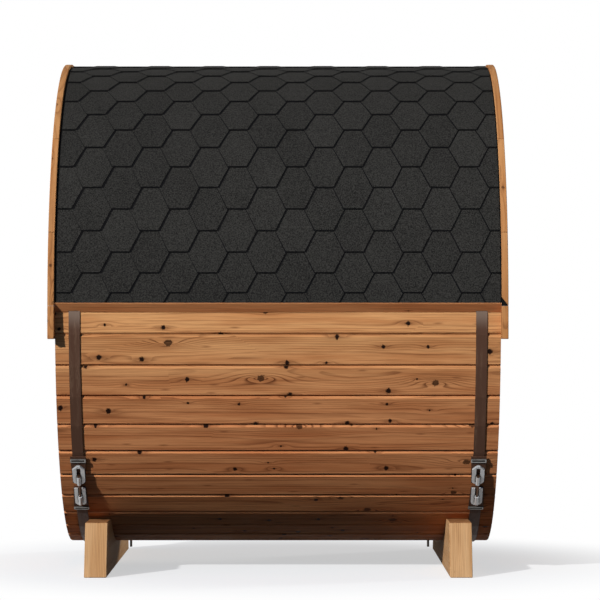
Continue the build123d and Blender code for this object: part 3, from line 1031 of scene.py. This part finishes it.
@dataclass
class Wardrobe:
    """Keeps one material for each slot and dresses pieces in it."""

    finishes: tuple[Finish, ...]
    made: dict[str, bpy.types.Material] = field(default_factory=dict)

    def __post_init__(self) -> None:
        """Makes every material."""
        for finish in self.finishes:
            material = finish.material()
            for key in finish.only or (finish.slot.value,):
                self.made[key] = material

    def dress(self, piece: bpy.types.Object, name: str, slot: str) -> None:
        """Gives a piece the material made for it alone, or else that of its slot.

        Args:
            piece: The object to dress.
            name: The piece's name.
            slot: The slot's name.
        """
        piece.data.materials.clear()
        piece.data.materials.append(self.made.get(name) or self.made[slot])

    def dress_frame(self) -> None:
        """Dresses every CAD node in the finish of its slot."""
        for part in frame["record"]["subparts"]:
            self.dress(frame["nodes"][part["node"]], part["node"], part["material_slot"])
            log.info("node %s wears %s", part["node"], part["material_slot"])

    def add(self, bm: bmesh.types.BMesh, name: str, slot: Slot) -> bpy.types.Object:
        """Turns a finished shape into a piece that rides on the barrel.

        Args:
            bm: The shape, in metres in the shared frame.
            name: The piece's name.
            slot: The slot that it is finished in.

        Returns:
            The new piece.
        """
        mesh = bpy.data.meshes.new(name)
        bm.to_mesh(mesh)
        bm.free()
        piece = bpy.data.objects.new(name, mesh)
        bpy.context.scene.collection.objects.link(piece)
        self.dress(piece, name, slot.value)
        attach(piece, "root")
        log.info("piece %s: %d faces", name, len(mesh.polygons))
        return piece


@dataclass
class Shingles:
    """Six-sided felt tabs laid in courses from both eaves to the crown."""

    pitch: float = 0.229
    edge: float = 0.074
    width: float = 0.160
    phase: float = 0.0675
    lift: float = 0.007
    thinnest: float = 0.0001
    tuck_share: float = 0.85
    cut_shares: tuple[float, ...] = (0.25, 0.5, 0.75)
    side_columns: int = 5
    first_course: int = -2
    last_course: int = 17
    first_angle: float = 6.726
    course_step: float = 4.5244
    ridge_step: float = 4.0
    sine_swing: float = 1.0844
    cosine_swing: float = 3.6459
    wave_courses: float = 23.5
    left_gap: float = 0.009
    right_gap: float = 0.0045
    # The dark sheets that paint the tabs' shadow lines are this much larger and lower than the tabs.
    shadow_sheet_margin: float = 0.0045
    shadow_sheet_drop: float = 0.0022
    # Painted shade: the top courses are darkened by this much of the tab tone.
    ridge_painted_shade: float = 1.8
    painted_shade_courses: int = 6
    place_play: float = 0.001
    shade_play: float = 0.5
    cut_slack: float = 1e-7
    dice: random.Random = field(default_factory=lambda: random.Random(7))

    def course_angle(self, course: int) -> float:
        """Gives the angle of a course's lower edge above the eaves line; the courses open up on the shoulder.

        Args:
            course: The course, counted up from the eaves.

        Returns:
            The angle in radians.
        """
        if course > self.last_course:
            return math.pi / 2 + (course - self.last_course - 1) * math.radians(self.ridge_step)
        wave = math.tau * course / self.wave_courses
        swing = self.sine_swing * math.sin(wave) + self.cosine_swing * math.cos(wave)
        return math.radians(self.first_angle + self.course_step * course - swing)

    def blank(self) -> bmesh.types.BMesh:
        """Makes the flat blank that every tab is shaped from.

        Returns:
            A unit block cut across at each quarter of its length.
        """
        bm = bmesh.new()
        bmesh.ops.create_cube(bm, size=1.0, matrix=Matrix.Translation((0.0, MIDDLE, 0.0)))
        for share in self.cut_shares:
            geom = bm.verts[:] + bm.edges[:] + bm.faces[:]
            bmesh.ops.bisect_plane(bm, geom=geom, plane_co=(0.0, share, 0.0), plane_no=(0.0, 1.0, 0.0))
        return bm

    def shape_tab(
        self, verts: Sequence[bmesh.types.BMVert], centre: float, course: int, margin: float, drop: float
    ) -> None:
        """Shapes a copy of the blank into a tab, still unrolled: along, angle and height.

        Args:
            verts: The copy's vertices.
            centre: The tab's place along the barrel.
            course: The tab's course.
            margin: How much wider and longer the copy is than the tab.
            drop: How much lower its top lies.
        """
        low, middle, high = (self.course_angle(course + step) for step in range(3))
        low -= margin / BARREL.cover_radius
        for vert in verts:
            side, share, top = vert.co
            wide = self.edge + (self.width - self.edge) * (1 - abs(2 * share - 1)) + 2 * margin
            if share < MIDDLE:
                angle = low + (middle - low) * 2 * share
            else:
                angle = middle + (high - middle) * (2 * share - 1)
            rise = self.lift * (1 - self.tuck_share * share) - drop
            vert.co = (centre + side * wide, angle, max(rise, self.thinnest) if top > 0 else 0.0)

    def lay_tabs(self, bm: bmesh.types.BMesh) -> None:
        """Lays the front's tabs, still unrolled, each over a larger dark sheet that paints its shadow line,
        darker near the ridge as painted shade.

        Args:
            bm: The blank, which the tabs take the place of.
        """
        tone = bm.verts.layers.float.new("tab_tone_and_shade")
        shadow_sheet = bm.verts.layers.float.new("shadow_sheet")
        blank = bm.verts[:] + bm.edges[:] + bm.faces[:]
        for course in range(self.first_course, self.last_course + 1):
            # Painted shade: the courses nearest the ridge get a darker tone.
            near_ridge = max(0, course + self.painted_shade_courses - self.last_course) / self.painted_shade_courses
            for column in range(-self.side_columns, self.side_columns + 1):
                centre = self.phase + column * self.pitch - (course % 2) * self.pitch / 2
                if abs(centre) - self.width / 2 > BARREL.half_length:
                    continue
                centre += self.dice.uniform(-self.place_play, self.place_play)
                shade = self.dice.uniform(-self.shade_play, self.shade_play) - self.ridge_painted_shade * near_ridge
                # The dark sheet is shifted right, more towards the left end, so the painted shadow line is
                # bolder on the lower right edges, as from a lamp on the left.
                lean = self.shadow_sheet_margin * (1 - centre / BARREL.half_length) / 2
                for layer, spot, margin, drop in (
                    (0.0, centre, 0.0, 0.0), (1.0, centre + lean, self.shadow_sheet_margin, self.shadow_sheet_drop)
                ):
                    copy = bmesh.ops.duplicate(bm, geom=blank)["geom"]
                    verts = [part for part in copy if isinstance(part, bmesh.types.BMVert)]
                    self.shape_tab(verts, spot, course, margin, drop)
                    for vert in verts:
                        vert[tone] = shade
                        vert[shadow_sheet] = layer
        spent = [part for part in blank if isinstance(part, bmesh.types.BMVert)]
        bmesh.ops.delete(bm, geom=spent, context="VERTS")

    def trim_sheet(self, bm: bmesh.types.BMesh, place: Sequence[float], outward: Sequence[float]) -> None:
        """Cuts the unrolled tabs off along a plane and closes the cuts.

        Args:
            bm: The unrolled tabs.
            place: A point on the plane.
            outward: The side that goes.
        """
        geom = bm.verts[:] + bm.edges[:] + bm.faces[:]
        cut = bmesh.ops.bisect_plane(
            bm, geom=geom, dist=self.cut_slack, plane_co=place, plane_no=outward, clear_outer=True
        )
        edges = [part for part in cut["geom_cut"] if isinstance(part, bmesh.types.BMEdge)]
        bmesh.ops.holes_fill(bm, edges=edges, sides=0)

    def build(self, wardrobe: Wardrobe) -> bpy.types.Object:
        """Lays every tab and dresses the roof.

        Args:
            wardrobe: The finishes.

        Returns:
            The roof's tabs as one piece.
        """
        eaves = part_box("eaves_front")[1]
        start = math.asin((eaves.z - BARREL.axis_z) / -eaves.y)
        bm = self.blank()
        self.lay_tabs(bm)
        self.trim_sheet(bm, (BARREL.half_length - self.right_gap, 0.0, 0.0), (1.0, 0.0, 0.0))
        self.trim_sheet(bm, (self.left_gap - BARREL.half_length, 0.0, 0.0), (-1.0, 0.0, 0.0))
        self.trim_sheet(bm, (0.0, start, 0.0), (0.0, -1.0, 0.0))
        self.trim_sheet(bm, (0.0, math.pi / 2, 0.0), (0.0, 1.0, 0.0))
        for vert in bm.verts:
            along, angle, height = vert.co
            radius = BARREL.cover_radius + height
            vert.co = (along, -radius * math.cos(angle), BARREL.axis_z + radius * math.sin(angle))
        geom = bm.verts[:] + bm.edges[:] + bm.faces[:]
        bmesh.ops.mirror(bm, geom=geom, axis="Y", merge_dist=-1.0)
        bmesh.ops.recalc_face_normals(bm, faces=bm.faces)
        return wardrobe.add(bm, "shingle_tabs", Slot.SHINGLE_FELT)


@dataclass(frozen=True)
class Studio:
    """A pale floor, a key light from the left, a soft light behind on the right and a white backdrop."""

    floor_size: float = 80.0
    floor_drop: float = 0.0006
    floor_roughness: float = 0.9
    floor_colour: Rgb = (246, 246, 245)
    floor_bounce: Rgb = (30, 30, 30)
    white_share: float = 0.55
    white_start: float = 0.9
    white_end: float = 1.9
    lamp_distance: float = 8.0
    key_strength: float = 4.15
    key_left: float = 36.0
    key_rise: float = 25.2
    key_softness: float = 1.5
    rim_strength: float = 1.5
    rim_left: float = -120.0
    rim_rise: float = 12.0
    rim_softness: float = 8.0
    front_fill: Rgb = (168, 204, 252)
    back_fill: Rgb = (92, 94, 100)
    back_full: float = 0.7
    away_fill: Rgb = (60, 60, 60)
    above_start: float = 0.35
    above_full: float = 0.95
    right_start: float = 0.15
    right_full: float = 0.8
    horizon_share: float = 0.75
    horizon_end: float = 0.3
    gleam_left: float = 1.0
    gleam_right: float = 0.12
    gleam_turn: float = 0.7

    def lay_floor(self) -> bpy.types.Object:
        """Lays the floor.

        Returns:
            The floor.
        """
        bm = bmesh.new()
        bmesh.ops.create_grid(bm, x_segments=1, y_segments=1, size=self.floor_size,
                              matrix=Matrix.Translation((0.0, 0.0, -self.floor_drop)))
        mesh = bpy.data.meshes.new("studio_floor")
        bm.to_mesh(mesh)
        bm.free()
        floor = bpy.data.objects.new("studio_floor", mesh)
        bpy.context.scene.collection.objects.link(floor)
        floor.data.materials.append(self.floor_paint())
        log.info("floor laid")
        return floor

    def floor_paint(self) -> bpy.types.Material:
        """Makes the floor's paint: pale near the object, and white to the camera further off.

        Returns:
            The material.
        """
        made = bpy.data.materials.new("studio_floor")
        made.use_nodes = True
        sheet = NodeSheet(made.node_tree)
        shader = made.node_tree.nodes["Principled BSDF"]
        path = sheet.add("LightPath", {}).outputs
        shown = sheet.math("MAXIMUM", path["Is Camera Ray"], path["Is Glossy Ray"])
        tone = sheet.blend(shown, linear(self.floor_bounce), linear(self.floor_colour))
        sheet.feed(shader.inputs["Base Color"], tone)
        shader.inputs["Roughness"].default_value = self.floor_roughness
        shader.inputs["Specular IOR Level"].default_value = 0.0
        place = sheet.add("TexCoord", {}).outputs["Object"]
        flat = sheet.vector("LENGTH", sheet.vector("MULTIPLY", place, (1.0, 1.0, 0.0)))
        far = sheet.ramp(flat, self.white_start, self.white_end, self.white_share, 1.0)
        white = sheet.add("Emission", {"Color": WHITE, "Strength": 1.0}).outputs[0]
        share = sheet.math("MULTIPLY", far, shown)
        mixed = sheet.add("MixShader", {0: share, 1: shader.outputs[0], 2: white})
        sheet.feed(made.node_tree.nodes["Material Output"].inputs["Surface"], mixed.outputs[0])
        return made

    def hang_lamp(
        self, name: str, strength: float, left: float, rise: float, softness: float
    ) -> bpy.types.Object:
        """Hangs one far lamp that shines on the barrel.

        Args:
            name: The lamp's name.
            strength: How strong it is.
            left: How far left of the camera it hangs, in degrees round the barrel.
            rise: How high it hangs, in degrees.
            softness: How wide it looks, in degrees.

        Returns:
            The lamp.
        """
        light = bpy.data.lights.new(name, "SUN")
        light.energy = strength
        light.angle = math.radians(softness)
        lamp = bpy.data.objects.new(name, light)
        turn, lift = math.radians(left), math.radians(rise)
        level = math.cos(lift)
        towards = Vector((-math.sin(turn) * level, -math.cos(turn) * level, math.sin(lift)))
        lamp.rotation_euler = towards.to_track_quat("Z", "Y").to_euler()
        lamp.location = towards * self.lamp_distance
        bpy.context.scene.collection.objects.link(lamp)
        log.info("lamp %s hung", name)
        return lamp

    def surround(self) -> None:
        """Makes the world: cool light from the camera's side, dimmer elsewhere, white where it is seen."""
        world = bpy.data.worlds.new("surround")
        world.use_nodes = True
        bpy.context.scene.world = world
        sheet = NodeSheet(world.node_tree)
        right, back, up = sheet.parts(sheet.add("TexCoord", {}).outputs["Generated"])
        behind = sheet.ramp(back, 0.0, self.back_full)
        fill = sheet.blend(behind, linear(self.front_fill), linear(self.back_fill))
        above = sheet.ramp(up, self.above_start, self.above_full)
        aside = sheet.ramp(right, self.right_start, self.right_full)
        low = sheet.ramp(up, 0.0, self.horizon_end, self.horizon_share, 0.0)
        away = sheet.math("MAXIMUM", sheet.math("MAXIMUM", above, aside), low)
        fill = sheet.blend(away, fill, linear(self.away_fill))
        gleam = sheet.ramp(right, -self.gleam_turn, self.gleam_turn, self.gleam_left, self.gleam_right)
        path = sheet.add("LightPath", {}).outputs
        seen = sheet.math("MAXIMUM", path["Is Camera Ray"], path["Is Transmission Ray"])
        colour = sheet.blend(path["Is Glossy Ray"], fill, gleam)
        shader = world.node_tree.nodes["Background"]
        sheet.feed(shader.inputs["Color"], sheet.blend(seen, colour, WHITE))
        shader.inputs["Strength"].default_value = 1.0

    def set_up(self) -> None:
        """Sets the whole studio up."""
        self.lay_floor()
        self.hang_lamp("key_light", self.key_strength, self.key_left, self.key_rise, self.key_softness)
        self.hang_lamp("rim_light", self.rim_strength, self.rim_left, self.rim_rise, self.rim_softness)
        self.surround()
        bpy.context.scene.view_settings.view_transform = "Standard"


@dataclass(frozen=True)
class Photographer:
    """The camera: far off, about as high as the barrel's axis, looking at its side."""

    place: tuple[float, float, float] = (0.0813, -12.6375, 0.9957)
    lens: float = 178.54
    sensor: float = 36.0
    look_up: float = 0.535
    look_right: float = 0.024
    far_limit: float = 200.0

    def set_up(self) -> bpy.types.Object:
        """Sets the camera up.

        Returns:
            The camera.
        """
        data = bpy.data.cameras.new("camera")
        data.lens = self.lens
        data.sensor_width = self.sensor
        data.clip_end = self.far_limit
        camera = bpy.data.objects.new("camera", data)
        camera.location = self.place
        tilt = math.pi / 2 + math.radians(self.look_up)
        camera.rotation_euler = (tilt, 0.0, -math.radians(self.look_right))
        bpy.context.scene.collection.objects.link(camera)
        bpy.context.scene.camera = camera
        log.info("camera set up")
        return camera


def main() -> None:
    """Dresses the frame, adds the fine pieces and sets the studio up."""
    logging.basicConfig(level=logging.INFO, format="%(name)s: %(message)s")
    wardrobe = Wardrobe(FINISHES)
    wardrobe.dress_frame()
    Shingles().build(wardrobe)
    Studio().set_up()
    Photographer().set_up()


if __name__ == "__main__":
    main()
